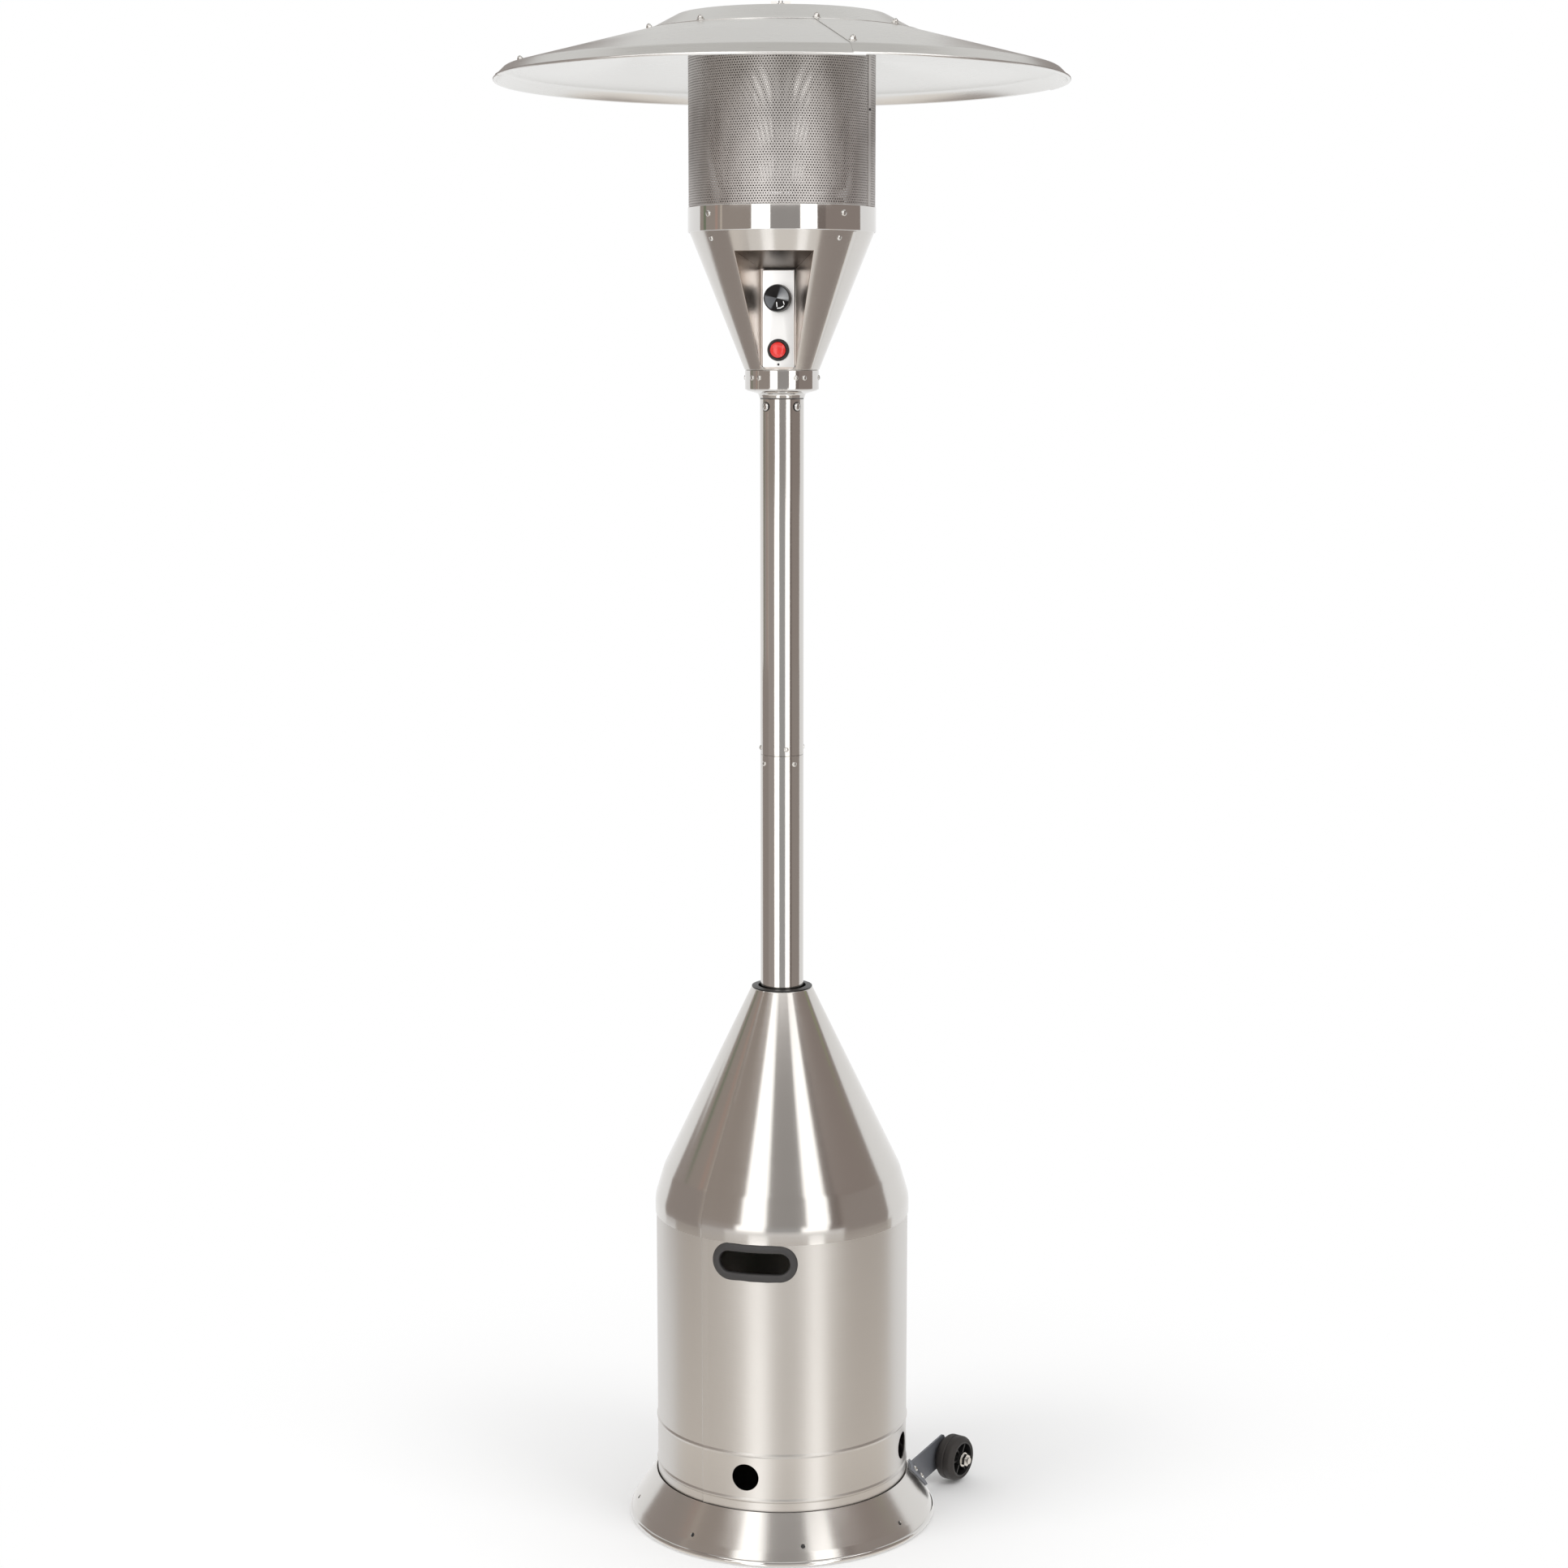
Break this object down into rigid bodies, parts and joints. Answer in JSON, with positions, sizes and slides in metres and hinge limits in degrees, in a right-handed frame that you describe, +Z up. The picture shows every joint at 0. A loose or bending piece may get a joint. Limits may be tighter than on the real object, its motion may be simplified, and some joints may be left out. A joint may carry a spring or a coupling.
{
  "type": "patio heater",
  "caption": "Free-standing gas patio heater: flared base, lift-up bottle housing, slim post, conical control head, perforated emitter and wide round reflector.",
  "frame": {"origin": "on the floor, at the axis of the post", "axes": "+Z up along the post, the control panel faces -Y, +X to the right of someone who faces the panel"},
  "size_m": [0.813, 0.813, 2.2105],
  "materials": {
    "stainless_steel": "brushed stainless steel sheet, satin, fine grain round the shells and along the post",
    "polished_steel": "polished stainless steel",
    "reflector_aluminium": "spun aluminium sheet, satin",
    "plated_steel": "zinc plated steel, blue grey",
    "fasteners": "bright zinc plated and stainless screws and nuts",
    "emitter_steel": "perforated stainless steel, warm grey",
    "burner_iron": "heat-blackened iron",
    "brass": "machined brass",
    "knob_metal": "spun aluminium disc",
    "black_plastic": "moulded black plastic, satin",
    "trim_rubber": "moulded black rubber edging",
    "tyre_rubber": "black rubber tread",
    "red_plastic": "glossy red plastic",
    "white_ceramic": "glazed ceramic"
  },
  "bodies": {
    "stand": {"base_skirt": "stainless_steel", "base_plate": "plated_steel", "support_strut_1": "plated_steel", "support_strut_2": "plated_steel", "support_strut_3": "plated_steel", "strut_bolts": "fasteners", "lower_post": "stainless_steel", "upper_post": "stainless_steel", "post_sleeve": "plated_steel", "post_screws": "fasteners", "neck_flange": "polished_steel", "neck_bolts": "fasteners", "head_collar": "polished_steel", "collar_screws": "fasteners", "head_cone": "stainless_steel", "cone_screws": "fasteners", "control_recess": "stainless_steel", "control_plate": "polished_steel", "gas_valve": "brass", "igniter_body": "black_plastic", "igniter_nut": "plated_steel", "burner_pan": "emitter_steel", "gas_jet": "brass", "burner_tube": "burner_iron", "burner_head": "burner_iron", "pilot_burner": "emitter_steel", "thermocouple": "emitter_steel", "spark_electrode": "white_ceramic", "tilt_switch": "black_plastic", "head_band": "polished_steel", "band_screws": "fasteners", "emitter_screen": "emitter_steel", "emitter_lid": "emitter_steel", "reflector_studs": "fasteners", "reflector_nuts": "fasteners", "reflector_panel_1": "reflector_aluminium", "reflector_panel_2": "reflector_aluminium", "reflector_panel_3": "reflector_aluminium", "reflector_panel_4": "reflector_aluminium", "reflector_cap": "reflector_aluminium", "cap_bolts": "fasteners", "seam_bolts": "fasteners", "wheel_bracket_left": "plated_steel", "wheel_bracket_right": "plated_steel", "bracket_bolts": "fasteners", "axle_bolts": "fasteners"},
    "housing": {"housing_can": "stainless_steel", "housing_cone": "stainless_steel", "post_ring": "black_plastic", "hand_trim_front": "trim_rubber", "hand_trim_rear": "trim_rubber"},
    "knob_plunger": {"valve_plunger": "brass"},
    "knob": {"control_knob": "black_plastic", "knob_face": "knob_metal", "valve_spindle": "plated_steel"},
    "push_button": {"igniter_button": "red_plastic"},
    "wheel_left": {"tyre_left": "tyre_rubber", "hub_left": "black_plastic"},
    "wheel_right": {"tyre_right": "tyre_rubber", "hub_right": "black_plastic"}
  },
  "joints": [
    {"name": "housing_lift", "type": "slide", "parent": "stand", "child": "housing", "axis": [0, 0, 1], "range_m": [0, 0.6]},
    {"name": "knob_press", "type": "slide", "parent": "stand", "child": "knob_plunger", "axis": [0, 1, 0], "range_m": [0, 0.004], "stiffness_N_per_m": 1200, "springref_m": -0.003},
    {"name": "knob_turn", "type": "hinge", "parent": "knob_plunger", "child": "knob", "pos_m": [0, -0.06, 1.808], "axis": [0, -1, 0], "range_deg": [0, 230]},
    {"name": "igniter_press", "type": "slide", "parent": "stand", "child": "push_button", "axis": [0, 1, 0], "range_m": [0, 0.005], "stiffness_N_per_m": 1500, "springref_m": -0.003},
    {"name": "wheel_left_spin", "type": "hinge", "parent": "stand", "child": "wheel_left", "pos_m": [-0.01833, 0.28425, 0.038], "axis": [0.866, -0.5, 0], "continuous": true},
    {"name": "wheel_right_spin", "type": "hinge", "parent": "stand", "child": "wheel_right", "pos_m": [0.25533, 0.12625, 0.038], "axis": [0.866, -0.5, 0], "continuous": true}
  ]
}
